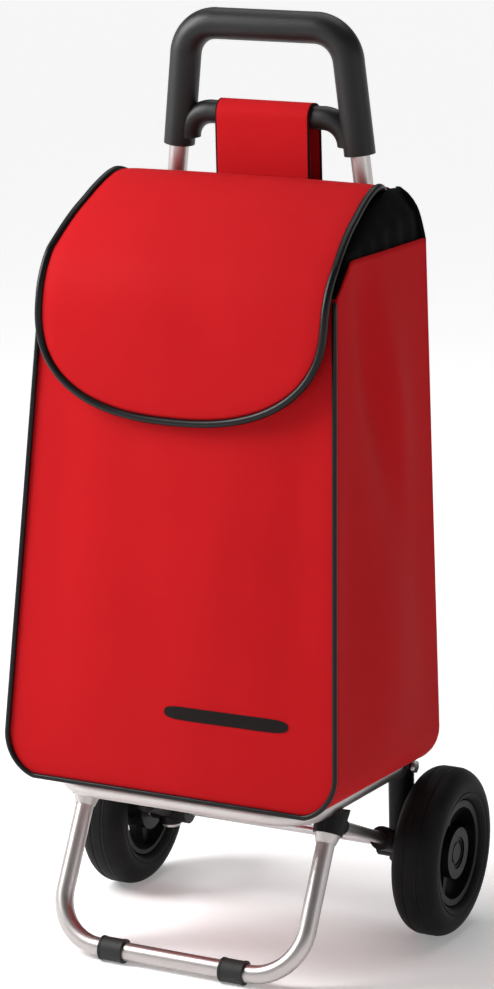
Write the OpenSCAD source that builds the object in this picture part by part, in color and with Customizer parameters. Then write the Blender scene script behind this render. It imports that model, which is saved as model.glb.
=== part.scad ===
// Two-wheeled shopping trolley: a tapered fabric bag with a piped flap, carried on a bent tube
// frame with a shelf, a front stand and a moulded loop handle.
// +Z is up, the front is -Y. The origin is on the ground, in the middle of the footprint.

/* [Wheels] */
// Outside radius of the tyre
wheel_r = 85; // [75:1:100]
// Width of the tyre
tyre_w = 48; // [40:1:50]
// Height of the tyre's section, from the rim to the tread
tyre_h = 32; // [28:0.5:34]
// Distance between the two wheels' middle planes
track = 348; // [346:1:400]
// Radius of the hub
hub_r = 26; // [20:1:30]
// Length of the hub inside the wheel's middle plane
hub_in = 22; // [18:1:24]
// Length of the hub outside the wheel's middle plane
hub_out = 18; // [14:1:20]
// Width of a spoke
spoke_w = 8; // [6:0.5:12]
// Half of the angle between the two spokes of a pair
spoke_spread = 19; // [17:0.5:28]
// Diameter of the axle
axle_d = 10; // [8:0.5:12]

/* [Frame] */
// Outside diameter of the two uprights
upright_d = 19; // [17:0.5:22]
// Outside diameter of the shelf and stand tubes
tube_d = 18; // [16:0.5:20]
// Outside diameter of the struts
strut_d = 12; // [10:0.5:14]
// Wall of the frame tubes
tube_wall = 1.5; // [1:0.1:2]
// Distance of each upright, leg and shelf run from the middle plane
frame_x = 131; // [122:1:138]
// Lean of the uprights towards the front, in degrees
lean = 6.5; // [4:0.5:9]
// Inward splay of the uprights' upper part, in degrees
splay = 6.5; // [5:0.5:7]
// Length of the uprights from the axle to where they turn inwards
splay_start = 399; // [360:1:430]
// Height of the shelf tube's centre line
shelf_z = 170; // [160:1:185]
// Reach of the shelf's front run ahead of the axle
shelf_reach = 244.4; // [235:0.1:250]
// Bend radius of the shelf tube
shelf_bend = 40; // [30:1:55]
// Reach of the stand's foot bar ahead of the axle
foot_reach = 245; // [230:1:255]
// Reach of the stand's legs ahead of the axle, at the shelf
leg_reach = 170.4; // [160:0.1:185]
// Bend radius of the stand tube
stand_bend = 50; // [35:1:60]
// Distance of each foot sleeve from the middle plane
foot_x = 65; // [45:1:72]

/* [Handle] */
// Length of the uprights' line from the axle to the middle of the grip
grip_s = 820; // [790:1:860]
// Diameter of the handle's loop
grip_d = 30.5; // [28:0.5:34]
// Bend radius of the loop's upper corners
grip_bend = 34; // [28:1:40]
// Diameter of the crossbar
cross_d = 23; // [20:0.5:25]
// Distance of the crossbar below the middle of the grip
cross_drop = 86; // [76:1:96]
// Distance of the handle's lower ends below the middle of the grip
handle_drop = 119; // [112:1:130]

/* [Bag] */
// Half width of the front panel at its bottom
bag_front_x = 176; // [165:1:184]
// Half width of the front panel at its top
bag_front_top_x = 153.5; // [140:0.5:165]
// Half width of the back panel at its bottom
bag_back_x = 179; // [168:1:186]
// Half width of the back panel at the side panels' top
bag_back_top_x = 170; // [155:1:180]
// Reach of the front panel ahead of the axle, at its bottom
bag_reach = 268; // [262:1:280]
// Reach of the front panel ahead of the axle, at its top
bag_top_reach = 249; // [245:1:258]
// Height of the front panel's top
front_top_z = 664; // [640:1:670]
// Height of the side panels' top, at the back
side_top_z = 708; // [702:1:712]
// Height of the back panel's top
back_top_z = 748; // [746:1:752]
// Radius of the bag's lower corners
bag_corner_r = 42; // [30:1:50]
// Thickness of the lined fabric
fabric_t = 3; // [2:0.5:4]
// Radius of the piping round the front panel
piping_r = 2.8; // [2:0.1:3.5]
// Thickness of the base board
board_t = 3.5; // [3:0.5:6]

/* [Flap] */
// Half width of the flap at its widest
flap_x = 144; // [136:1:148]
// Half width of the flap at its hinge
flap_hinge_x = 135; // [128:1:139]
// Height at which the flap's rounded end begins
flap_round_z = 640; // [625:1:650]
// Height of the flap's lowest point
flap_low_z = 543; // [520:1:560]
// Radius of the piping round the flap
flap_piping_r = 3.6; // [2.5:0.1:4]
// Width of the strap
strap_w = 100; // [80:1:106]
// Thickness of the strap
strap_t = 2; // [1.5:0.5:3]

/* [Hidden] */
$fn = 64;

// Clearances
run_gap = 0.05;         // radial, of a bush on the axle
soft_gap = 0.3;         // between the bag and what it rests on or hangs from
end_gap = 0.5;          // axial, between a turning hub and what stops it
bend_step = 0.1;        // a bent stretch of tube is this much thicker in radius than a straight one

// Wheel
wheel_x = track / 2;
rim_r = wheel_r - tyre_h;
rim_t = 4.5;
rim_w = tyre_w - 12;
bead_r = 8;
shoulder_r = 18;
groove_w = 1.6;
groove_x = 7;
bush_r = 12;
bush_l = 14;
spoke_t = 16;           // thickness of a spoke along the axle
spoke_turn = -4;        // turn of the first pair of spokes above the backward direction
nut_t = 2;
nut_r = 10;
cap_t = 3;
cap_r = 16;
cap_recess = 1.5;
cap_x = wheel_x + hub_out - cap_recess - cap_t;
bush_out_x = cap_x - nut_t - 3 * end_gap - bush_l;
axle_end = bush_out_x + bush_l + end_gap + nut_t + end_gap;

// Frame
axle_y = (bag_reach + 2 * piping_r - fabric_t / 2 - wheel_r) / 2;
upright_r = upright_d / 2;
tube_r = tube_d / 2;
strut_r = strut_d / 2;
axle_r = axle_d / 2;
upright_foot = 19;      // the uprights' length below the axle
upright_bend = 120;
upright_top_s = grip_s - 60;
foot_r = tube_r + 3;
foot_l = 25;
leg_angle = atan((foot_reach - leg_reach) / (shelf_z - foot_r));
leg_len = norm([foot_reach - leg_reach, shelf_z - foot_r]);
leg_gap = 16;           // from the shelf tube's centre line down to the stand tube's end
block_h = 27;
block_d = 31;           // distance of the block's lower end below the shelf tube's centre
block_mid = 20;         // distance of the strut's end below the shelf tube's centre
block_y = -leg_reach - block_mid * sin(leg_angle);
block_z = shelf_z - block_mid * cos(leg_angle);
strut_angle = atan((block_z - wheel_r) / -block_y);
strut_len = norm([block_y, block_z - wheel_r]);
sleeve_r = upright_r + 3.5;
sleeve_foot = 15;
boss_r = axle_r + 9;
boss_in = frame_x - 23;
boss_out = wheel_x - hub_in - 2 - 2 * end_gap;
socket_l = 58;
bolt_r = 3;
bolt_s = (shelf_z - wheel_r) / cos(lean);
sleeve_top = bolt_s + 14.5;

// Handle
grip_r = grip_d / 2;
cross_r = cross_d / 2;
cross_s = grip_s - cross_drop;
handle_low_s = grip_s - handle_drop;
cross_bend = 26;
screw_s = handle_low_s + 14;
screw_r = 2;

// Bag: its back plane is parallel to the uprights, its front plane leans by the panel's own taper
bag_z = shelf_z + tube_r + soft_gap;
back_off = upright_r + 4.5;
strap_in = cross_r + bend_step + 0.4;
// From the crossbar's middle down to the back panel's top edge, and on to the front ply's end
strap_drop = cross_s - (back_top_z - wheel_r) / cos(lean);
strap_tail = strap_drop + 13;

// Flap
hinge_y = -94;
hinge_z = back_top_z + 3;
flap_start_y = hinge_y + 1.5;
flap_top_z = 758;
flap_neck_z = 690;      // the flap's sides lean in above this height
flap_square = 2.4;      // 2 gives an ellipse, more gives fuller corners

function mix(a, b, f) = a + (b - a) * f;
function clamp01(f) = max(0, min(1, f));
function unit(v) = v / norm(v);
// Distance of the uprights' splayed axis from the middle plane, at length s above the axle
function splay_x(s) = frame_x - tan(splay) * (s - splay_start);
// Length of a leg that the loop's corner takes, and half the length of the straight grip bar
grip_corner = grip_bend * tan((90 - splay) / 2);
grip_half = splay_x(grip_s) - grip_corner;
// Planes of the bag, as y at height z, measured from the axle
function front_y(z) = -mix(bag_reach, bag_top_reach, (z - bag_z) / (front_top_z - bag_z));
function back_y(z) = -tan(lean) * (z - wheel_r) - back_off / cos(lean);

// Everything below is drawn from the axle's middle
module at_axle() { translate([0, axle_y, 0]) children(); }
// The same, turned so that +Z runs up along the uprights
module leaning() { translate([0, axle_y, wheel_r]) rotate([lean, 0, 0]) children(); }
module along_x(from, to, r) {
    translate([from, 0, 0]) rotate([0, 90, 0]) cylinder(h = to - from, r = r);
}
// Part of a torus: starts at +X, sweeps towards +Y
module bend(radius, r, angle) {
    rotate_extrude(angle = angle) translate([radius, 0]) circle(r = r + bend_step);
}
// The same, standing in the XZ plane: starts at the given angle above +X, sweeps up from there
module standing_bend(radius, r, from, angle) { rotate([90, 0, 0]) rotate([0, 0, from]) bend(radius, r, angle); }

// ---- wheels: drawn about the X axis, with +X pointing outwards ----
module on_wheel(side) {
    translate([0, axle_y, wheel_r]) rotate([0, 0, side > 0 ? 0 : 180]) children();
}
module spin_x() { rotate([0, 90, 0]) rotate_extrude() children(); }

module tyre_section() {
    difference() {
        intersection() {
            translate([rim_r, -tyre_w / 2]) square([tyre_h, tyre_w]);
            union() {
                translate([rim_r, -rim_w / 2]) square([tyre_h - shoulder_r, rim_w]);
                translate([rim_r, shoulder_r - tyre_w / 2]) square([tyre_h, tyre_w - 2 * shoulder_r]);
                for (s = [-1, 1]) {
                    translate([wheel_r - shoulder_r, s * (tyre_w / 2 - shoulder_r)]) circle(r = shoulder_r);
                    translate([rim_r + bead_r, s * (tyre_w / 2 - bead_r)]) circle(r = bead_r);
                }
            }
        }
        for (s = [-1, 1])
            translate([wheel_r - 1, s * groove_x - groove_w / 2]) square([2, groove_w]);
    }
}
module tyre(side) {
    color([0.10, 0.10, 0.11]) on_wheel(side) translate([wheel_x, 0, 0]) spin_x() tyre_section();
}

module rim(side) {
    color([0.15, 0.15, 0.16]) on_wheel(side) translate([wheel_x, 0, 0]) difference() {
        union() {
            spin_x() {
                translate([rim_r - rim_t, -rim_w / 2]) square([rim_t, rim_w]);
                translate([rim_r - rim_t - 2, rim_w / 2 - 3]) square([rim_t + 2, 3]);
            }
            along_x(-hub_in, hub_out, hub_r);
            for (pair = [0 : 2], s = [-1, 1])
                rotate([spoke_turn + 120 * pair + s * spoke_spread, 0, 0])
                    translate([-spoke_t / 2, 0, -spoke_w / 2]) cube([spoke_t, rim_r - rim_t / 2, spoke_w]);
        }
        along_x(-hub_in - 1, hub_out + 1, bush_r);
        along_x(bush_out_x + bush_l - wheel_x, hub_out + 1, cap_r);
    }
}

module bush(side, x) {
    color([0.85, 0.84, 0.80]) on_wheel(side) difference() {
        along_x(x, x + bush_l, bush_r);
        along_x(x - 1, x + bush_l + 1, axle_r + run_gap);
    }
}

module hub_cap(side) {
    color([0.13, 0.13, 0.14]) on_wheel(side) translate([cap_x, 0, 0]) difference() {
        along_x(0, cap_t, cap_r);
        spin_x() translate([cap_r - 6, cap_t - 1.2]) square([3, 2]);
    }
}

module axle() {
    color([0.72, 0.73, 0.75]) translate([0, axle_y, wheel_r]) along_x(-axle_end, axle_end, axle_r);
}

module axle_washers() {
    color([0.70, 0.71, 0.73]) for (side = [-1, 1]) on_wheel(side) difference() {
        along_x(boss_out, boss_out + 2, axle_r + 5);
        along_x(boss_out - 1, boss_out + 3, axle_r);
    }
}

module axle_push_nuts() {
    color([0.70, 0.71, 0.73]) for (side = [-1, 1]) on_wheel(side)
        translate([bush_out_x + bush_l + end_gap, 0, 0]) difference() {
            along_x(0, nut_t, nut_r);
            along_x(-1, nut_t + 1, axle_r);
        }
}

// ---- frame ----
module upright_solid(side, r, foot, top) {
    tangent = upright_bend * tan(splay / 2);
    top_of_bend = splay_start + tangent * cos(splay);
    translate([side * frame_x, 0, -foot]) cylinder(h = splay_start - tangent + foot, r = r);
    translate([side * (frame_x - upright_bend), 0, splay_start - tangent])
        standing_bend(upright_bend, r, side > 0 ? 0 : 180 - splay, splay);
    translate([side * splay_x(top_of_bend), 0, top_of_bend]) rotate([0, -side * splay, 0])
        cylinder(h = (top - splay_start) / cos(splay) - tangent, r = r);
}
module upright(side) {
    color([0.78, 0.77, 0.76]) difference() {
        leaning() upright_solid(side, upright_r, upright_foot, upright_top_s);
        leaning() upright_solid(side, upright_r - tube_wall, upright_foot + 1, upright_top_s + 1);
        translate([0, axle_y, wheel_r]) along_x(-axle_end, axle_end, axle_r);
        leaning() translate([0, 0, bolt_s]) along_x(-wheel_x, wheel_x, bolt_r);
        leaning() translate([side * splay_x(screw_s), 0, screw_s]) rotate([-90, 0, 0])
            cylinder(h = upright_d, r = screw_r);
    }
}

// A U-shaped tube in the XY plane: the cross run lies on the X axis, the legs run towards +Y
module u_solid(radius, leg, r) {
    along_x(radius - frame_x, frame_x - radius, r);
    for (s = [-1, 1]) {
        translate([s * frame_x, radius, 0]) rotate([-90, 0, 0]) cylinder(h = leg - radius, r = r);
        translate([s * (frame_x - radius), radius, 0]) rotate([0, 0, s > 0 ? -90 : 180]) bend(radius, r, 90);
    }
}
module u_tube(radius, leg) {
    difference() {
        u_solid(radius, leg, tube_r);
        u_solid(radius, leg + 1, tube_r - tube_wall);
    }
}
shelf_leg = shelf_reach - tan(lean) * (shelf_z - wheel_r) - upright_r - 1.5;
module at_shelf() { translate([0, axle_y - shelf_reach, shelf_z]) children(); }
module shelf_tube() { color([0.78, 0.77, 0.76]) at_shelf() u_tube(shelf_bend, shelf_leg); }

module at_stand() {
    translate([0, axle_y - foot_reach, foot_r]) rotate([90 - leg_angle, 0, 0]) children();
}
module stand_tube() { color([0.78, 0.77, 0.76]) at_stand() u_tube(stand_bend, leg_len - leg_gap); }

module foot_sleeve(side) {
    lip = 2;
    color([0.10, 0.10, 0.11]) at_stand() translate([side * foot_x, 0, 0]) difference() {
        union() {
            along_x(-foot_l / 2, foot_l / 2, foot_r - 0.5);
            for (x = [-foot_l / 2, foot_l / 2 - lip]) along_x(x, x + lip, foot_r);
        }
        along_x(-foot_l, foot_l, tube_r);
    }
}

// At the crossing of a leg's axis and the shelf tube's axis, with -Z running down the leg
module at_leg(side) {
    translate([side * frame_x, axle_y - leg_reach, shelf_z]) rotate([-leg_angle, 0, 0]) children();
}
// Along a strut: +X of the child runs from the axle to the corner block
module at_strut(side) {
    translate([side * frame_x, axle_y, wheel_r]) rotate([0, 0, -90]) rotate([0, -strut_angle, 0]) children();
}
module corner_block(side) {
    color([0.11, 0.11, 0.12]) difference() {
        union() {
            at_leg(side) translate([0, 0, -block_d]) cylinder(h = block_h, r1 = tube_r + 5.5, r2 = tube_r + 8);
            at_strut(side) along_x(strut_len - 27, strut_len, strut_r + 3);
        }
        translate([0, 0, shelf_z - 5]) translate([-wheel_x, axle_y - foot_reach, 0])
            cube([2 * wheel_x, foot_reach, 40]);
        at_shelf() u_solid(shelf_bend, shelf_leg, tube_r);
        at_leg(side) translate([0, 0, -2 * block_d]) cylinder(h = 2 * block_d - leg_gap, r = tube_r);
        at_strut(side) along_x(strut_len - 30, strut_len - tube_r - 1, strut_r);
    }
}
module leg_ferrule(side) {
    color([0.80, 0.79, 0.78]) at_leg(side) difference() {
        translate([0, 0, -block_d - 9]) cylinder(h = 9, r1 = tube_r + 1, r2 = tube_r + 3.5);
        translate([0, 0, -2 * block_d]) cylinder(h = 2 * block_d, r = tube_r);
    }
}
module strut(side) {
    color([0.76, 0.75, 0.74]) at_strut(side) difference() {
        along_x(upright_r + 6, strut_len - tube_r - 1, strut_r);
        along_x(upright_r + 5, strut_len, strut_r - tube_wall);
    }
}

module bracket(side) {
    color([0.11, 0.11, 0.12]) difference() {
        union() {
            leaning() translate([side * frame_x, 0, -sleeve_foot])
                cylinder(h = sleeve_top + sleeve_foot, r = sleeve_r);
            on_wheel(side) along_x(boss_in, boss_out, boss_r);
            at_strut(side) along_x(0, socket_l, strut_r + 5);
            at_strut(side) along_x(socket_l - 8, socket_l, strut_r + 6);
            translate([side * frame_x, axle_y + back_y(bag_z) + 0.5, shelf_z]) rotate([-90, 0, 0])
                cylinder(h = back_off, r = tube_r + 3);
        }
        leaning() translate([side * frame_x, 0, -40]) cylinder(h = 200, r = upright_r);
        on_wheel(side) along_x(0, wheel_x, axle_r);
        at_strut(side) along_x(upright_r + 6, socket_l + 1, strut_r);
        at_shelf() u_solid(shelf_bend, shelf_leg, tube_r);
        leaning() translate([0, 0, bolt_s]) along_x(-wheel_x, wheel_x, bolt_r);
    }
}
module bracket_bolts() {
    color([0.70, 0.71, 0.73]) for (side = [-1, 1]) leaning() translate([0, 0, bolt_s])
        rotate([0, 0, side > 0 ? 0 : 180]) {
            along_x(frame_x - sleeve_r - 5, frame_x + sleeve_r + 1, bolt_r);
            along_x(frame_x + sleeve_r + 0.1, frame_x + sleeve_r + 4, 2 * bolt_r);
        }
}
module bracket_nuts() {
    color([0.70, 0.71, 0.73]) for (side = [-1, 1]) leaning() translate([0, 0, bolt_s])
        rotate([0, 0, side > 0 ? 0 : 180]) translate([frame_x - sleeve_r - 4.6, 0, 0]) difference() {
            rotate([0, 90, 0]) cylinder(h = 4.5, r = 5.8, $fn = 6);
            along_x(-1, 6, bolt_r);
        }
}

// ---- handle: drawn in the plane of the uprights ----
module splayed_leg(side, from, to, r) {
    translate([side * splay_x(from), 0, from]) rotate([0, -side * splay, 0])
        cylinder(h = (to - from) / cos(splay), r = r);
}
module handle_loop() {
    translate([0, 0, grip_s]) along_x(-grip_half, grip_half, grip_r);
    for (s = [-1, 1]) {
        translate([s * grip_half, 0, grip_s - grip_bend])
            standing_bend(grip_bend, grip_r, s > 0 ? splay : 90, 90 - splay);
        splayed_leg(s, handle_low_s, grip_s - grip_corner * cos(splay), grip_r);
    }
}
module crossbar() {
    reach = splay_x(handle_low_s) - 11;
    translate([0, 0, cross_s]) along_x(cross_bend - reach, reach - cross_bend, cross_r);
    for (s = [-1, 1]) translate([s * (reach - cross_bend), 0, cross_s - cross_bend])
        standing_bend(cross_bend, cross_r, s > 0 ? 0 : 90, 90);
}
module handle() {
    color([0.12, 0.12, 0.13]) leaning() difference() {
        union() {
            handle_loop();
            crossbar();
        }
        for (s = [-1, 1]) {
            splayed_leg(s, handle_low_s - 20, upright_top_s, upright_r);
            translate([s * splay_x(screw_s), 0, screw_s]) rotate([-90, 0, 0]) cylinder(h = grip_r + 1, r = screw_r);
            translate([s * splay_x(screw_s), grip_r - 3.5, screw_s]) rotate([-90, 0, 0]) cylinder(h = 5, r = 2 * screw_r);
        }
    }
}
module handle_screws() {
    color([0.30, 0.30, 0.31]) leaning() for (s = [-1, 1])
        translate([s * splay_x(screw_s), upright_r - 4, screw_s]) rotate([-90, 0, 0]) {
            cylinder(h = grip_r - upright_r + 1, r = screw_r);
            translate([0, 0, grip_r - upright_r + 0.5]) cylinder(h = 2.5, r = 2 * screw_r);
        }
}

// ---- bag ----
// Outline of a panel in the XZ plane: down one side, round the lower corners and up the other
function half_outline(x_low, x_top, low, top, r) = concat(
    [[x_top, top], [x_low, low + r]],
    [for (a = [15 : 15 : 90]) [x_low - r + r * cos(a), low + r - r * sin(a)]]);
function outline(x_low, x_top, low, top, r) =
    let (h = half_outline(x_low, x_top, low, top, r), n = len(h))
    concat([for (i = [0 : n - 1]) [-h[i][0], h[i][1]]], [for (i = [n - 1 : -1 : 0]) h[i]]);

module front_plate(inset, from, to) {
    margin = 60;
    intersection() {
        translate([0, axle_y, 0]) rotate([90, 0, 0]) linear_extrude(height = bag_reach + margin)
            polygon(outline(bag_front_x - inset, bag_front_top_x - inset, bag_z + inset, front_top_z,
                            bag_corner_r - inset));
        rotate([90, 0, 90]) translate([axle_y, 0, -bag_front_x]) linear_extrude(height = 2 * bag_front_x)
            polygon([for (p = [[from, 0], [to, 0], [to, 1], [from, 1]])
                let (z = p[1] > 0 ? front_top_z : bag_z - 1) [front_y(z) + p[0], z]]);
    }
}
module front_panel() {
    color([0.78, 0.12, 0.14]) union() {
        front_plate(2 * piping_r, 0, fabric_t / 2);
        front_plate(0, fabric_t / 2, fabric_t);
    }
}
module back_panel() {
    shape = concat(outline(bag_back_x, bag_back_top_x, bag_z, side_top_z, bag_corner_r),
        [for (s = [1, -1], p = s > 0 ? back_shoulder : [back_shoulder[1], back_shoulder[0]]) [s * p[0], p[1]]]);
    color([0.70, 0.10, 0.12]) intersection() {
        translate([0, axle_y, 0]) rotate([90, 0, 0]) linear_extrude(height = bag_reach) polygon(shape);
        leaning() translate([-bag_back_x, -back_off - fabric_t, 0])
            cube([2 * bag_back_x, fabric_t, back_top_z + 50]);
    }
}

// The back panel's shoulder, above the side panels' top
back_shoulder = [[bag_back_top_x - 5, mix(side_top_z, back_top_z, 0.6)], [bag_back_top_x - 23, back_top_z]];

// Triangles of a quad, as two faces
function quad(a, b, c, d) = [[a, b, c], [a, c, d]];
// An open shell between an outer and an inner grid of points: rows[i][j]
module strip(outer, inner) {
    m = len(outer);
    n = len(outer[0]);
    points = concat([for (row = outer, p = row) p], [for (row = inner, p = row) p]);
    function o(i, j) = i * n + j;
    function k(i, j) = m * n + i * n + j;
    faces = concat(
        [for (i = [0 : m - 2], j = [0 : n - 2]) each quad(o(i, j), o(i, j + 1), o(i + 1, j + 1), o(i + 1, j))],
        [for (i = [0 : m - 2], j = [0 : n - 2]) each quad(k(i, j), k(i + 1, j), k(i + 1, j + 1), k(i, j + 1))],
        [for (i = [0, m - 1], j = [0 : n - 2]) each (i == 0
            ? quad(o(i, j), k(i, j), k(i, j + 1), o(i, j + 1))
            : quad(o(i, j), o(i, j + 1), k(i, j + 1), k(i, j)))],
        [for (i = [0 : m - 2], j = [0, n - 1]) each (j == 0
            ? quad(o(i, j), o(i + 1, j), k(i + 1, j), k(i, j))
            : quad(o(i, j), k(i, j), k(i + 1, j), o(i + 1, j)))]);
    polyhedron(points = points, faces = faces, convexity = 6);
}

// Rows of the gusset at three stations between the front and back panels: at the front, at the
// knee behind the front panel's top, and at the back
knee_f = 0.15;
knee_z = 697;
function gusset_y(z, f) = mix(front_y(z) + fabric_t, back_y(z) - fabric_t / cos(lean), f);
function gusset_row(f, inset) =
    let (top = f == 0 ? front_top_z : f == 1 ? side_top_z : knee_z,
         pts = outline(mix(bag_front_x, bag_back_x, f) - inset, mix(bag_front_top_x, bag_back_top_x, f) - inset,
                       bag_z + inset, top, bag_corner_r - inset))
    [for (p = pts) [p[0], axle_y + gusset_y(p[1], f), p[1]]];
module gusset() {
    stations = [0, knee_f, 1];
    color([0.60, 0.08, 0.10])
        strip([for (f = stations) gusset_row(f, 0)], [for (f = stations) gusset_row(f, fabric_t)]);
}

// The collar is sewn inside the mouth and rises under the flap, leaning inwards. Stations run from
// the back to the front corner and rows from the sewn lap up to the free edge.
collar_t = 2;
collar_lap = 12;
collar_stations = [1, 0.75, 0.5, knee_f, 0];
function mouth_z(f) = f < knee_f ? mix(front_top_z, knee_z, f / knee_f) : mix(knee_z, side_top_z, (f - knee_f) / (1 - knee_f));
function collar_rise(f) = mix(8, back_top_z - side_top_z - 3, f * f);
// [inset from the panel's outer side, height above the mouth, distance behind the front panel]
function collar_steps(f) = [
    [fabric_t + 0.2, -collar_lap, 0.2],
    [fabric_t + 0.2, 1, 0.2],
    [fabric_t + 4, 0.5 * collar_rise(f), 5],
    [fabric_t + 27, collar_rise(f), 22]];
function collar_point(f, step, deeper) =
    let (z = mouth_z(f) + step[1])
    [mix(bag_front_top_x, bag_back_top_x, f) - step[0] - deeper,
     axle_y + gusset_y(z, f) + (f == 0 ? step[2] + deeper : f == 1 ? -0.1 : (1 - f) * step[2] / 3), z];
function collar_row(i, deeper) =
    let (half = [for (f = collar_stations) collar_point(f, collar_steps(f)[i], deeper)], n = len(half))
    concat([for (p = half) [-p[0], p[1], p[2]]], [for (k = [n - 1 : -1 : 0]) half[k]]);
module collar() {
    rows = [3, 2, 1, 0];
    color([0.10, 0.10, 0.11])
        strip([for (i = rows) collar_row(i, 0)], [for (i = rows) collar_row(i, collar_t)]);
}

module base_board() {
    z = bag_z + fabric_t;
    x = bag_front_x - bag_corner_r - 2;
    low = front_y(z) + 2 * fabric_t;
    high = back_y(z + board_t) - 2 * fabric_t;
    color([0.35, 0.33, 0.30]) translate([-x, axle_y + low, z]) cube([2 * x, high - low, board_t]);
}

// Rings of points round a path: normals[i] is a unit vector across the path at path[i]
function ring(p, tangent, normal, r, sides) =
    let (across = unit(cross(tangent, normal)))
    [for (a = [0 : sides - 1]) p + r * (cos(360 * a / sides) * normal + sin(360 * a / sides) * across)];
module swept(path, normals, r, sides = 10) {
    n = len(path);
    points = [for (i = [0 : n - 1])
        each ring(path[i], unit(path[min(i + 1, n - 1)] - path[max(i - 1, 0)]), normals[i], r, sides)];
    faces = concat(
        [for (i = [0 : n - 2], a = [0 : sides - 1])
            let (b = (a + 1) % sides)
            each quad(i * sides + a, (i + 1) * sides + a, (i + 1) * sides + b, i * sides + b)],
        [[for (a = [0 : sides - 1]) a]],
        [[for (a = [sides - 1 : -1 : 0]) (n - 1) * sides + a]]);
    polyhedron(points = points, faces = faces, convexity = 8);
}
module front_piping() {
    shape = outline(bag_front_x - piping_r, bag_front_top_x - piping_r, bag_z + piping_r, front_top_z,
                    bag_corner_r - piping_r);
    path = [for (p = shape) [p[0], axle_y + front_y(p[1]) + fabric_t / 2 - piping_r, p[1]]];
    color([0.08, 0.08, 0.09]) swept(path, [for (p = path) [0, -1, 0]], piping_r - 0.02);
}

// ---- flap: a side profile from the hinge over the top and down the front, cut to a rounded outline ----
// Points of the flap's outer side, measured from the axle
flap_profile = [[flap_start_y, hinge_z + 1.5], [-108, 756.5], [-126, 758], [-140, 756], [-156, 750],
    [-172, 742], [-188, 732.5], [-204, 723], [-219, 712], [-233, 700], [-246, 687.5], [-256, 672],
    [-262, 656], [-264.5, 640], [-265.5, 615], [-266, flap_low_z - 8]];
flap_n = len(flap_profile);
function flap_tangent(i) = unit(flap_profile[min(i + 1, flap_n - 1)] - flap_profile[max(i - 1, 0)]);
function flap_normal(i) = [flap_tangent(i)[1], -flap_tangent(i)[0]];
flap_inner = [for (i = [0 : flap_n - 1]) flap_profile[i] - fabric_t * flap_normal(i)];
// Half width of the flap at height z above its rounded end
function flap_half(z) = mix(flap_x, flap_hinge_x, clamp01((z - flap_neck_z) / (flap_top_z - flap_neck_z)));
// Point of the rounded end, at angle a below the widest place, grown outwards by gap
function round_point(a, gap) = [(flap_x + gap) * pow(cos(a), 2 / flap_square),
    flap_round_z - (flap_round_z - flap_low_z + gap) * pow(sin(a), 2 / flap_square)];
module flap() {
    half = concat([for (a = [90 : -6 : 0]) round_point(a, 0)],
        [[flap_x, flap_neck_z], [flap_hinge_x, flap_top_z], [flap_hinge_x, flap_top_z + 20]]);
    shape = concat(half, [for (i = [len(half) - 1 : -1 : 1]) [-half[i][0], half[i][1]]]);
    color([0.80, 0.13, 0.15]) intersection() {
        translate([0, axle_y, 0]) rotate([90, 0, 0]) linear_extrude(height = bag_reach + 20) polygon(shape);
        rotate([90, 0, 90]) translate([axle_y, 0, -flap_x - 5]) linear_extrude(height = 2 * flap_x + 10)
            polygon(concat(flap_profile, [for (i = [flap_n - 1 : -1 : 0]) flap_inner[i]]));
    }
}
module flap_piping() {
    mid = fabric_t / 2;
    gap = flap_piping_r + 0.3;
    centre = [for (i = [0 : flap_n - 1]) flap_profile[i] - mid * flap_normal(i)];
    side = [for (i = [1 : flap_n - 3]) [flap_half(flap_profile[i][1]) + gap, centre[i][0], centre[i][1]]];
    front = centre[flap_n - 1][0];
    half_end = [for (a = [6 : 6 : 84]) let (p = round_point(a, gap)) [p[0], front, p[1]]];
    right = concat(side, half_end);
    side_n = [for (i = [1 : flap_n - 3]) [0, flap_normal(i)[0], flap_normal(i)[1]]];
    right_n = concat(side_n, [for (p = half_end) [0, -1, 0]]);
    n = len(right);
    low = [0, front, flap_low_z - gap];
    path = concat(right, [low], [for (i = [n - 1 : -1 : 0]) [-right[i][0], right[i][1], right[i][2]]]);
    normals = concat(right_n, [[0, -1, 0]], [for (i = [n - 1 : -1 : 0]) right_n[i]]);
    color([0.07, 0.07, 0.08]) translate([0, axle_y, 0]) swept(path, normals, flap_piping_r);
}

// ---- strap: a band over the crossbar, sewn to the back panel by both ends ----
// Centre line of the band, from the front ply's end over the bar to the back ply's end, as [y, z]
// measured from the crossbar's middle
strap_mid = strap_in + strap_t / 2;
strap_line = concat(
    [[-strap_mid, -strap_tail]],
    [for (a = [180 : -15 : 0]) strap_mid * [cos(a), sin(a)]],
    [[strap_mid, -strap_tail - 20], [strap_t / 2 + 0.1 - back_off, -strap_tail - 80],
     [strap_t / 2 + 0.1 - back_off, -strap_tail - 100]]);
// Both sides of a band of thickness t along a line of points
function line_normal(line, i) =
    let (n = len(line), d = unit(line[min(i + 1, n - 1)] - line[max(i - 1, 0)])) [-d[1], d[0]];
function band(line, t) = let (n = len(line)) concat(
    [for (i = [0 : n - 1]) line[i] + t / 2 * line_normal(line, i)],
    [for (i = [n - 1 : -1 : 0]) line[i] - t / 2 * line_normal(line, i)]);
module strap() {
    color([0.76, 0.11, 0.13]) leaning() translate([-strap_w / 2, 0, cross_s]) rotate([90, 0, 90])
        linear_extrude(height = strap_w) polygon(band(strap_line, strap_t));
}

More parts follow.
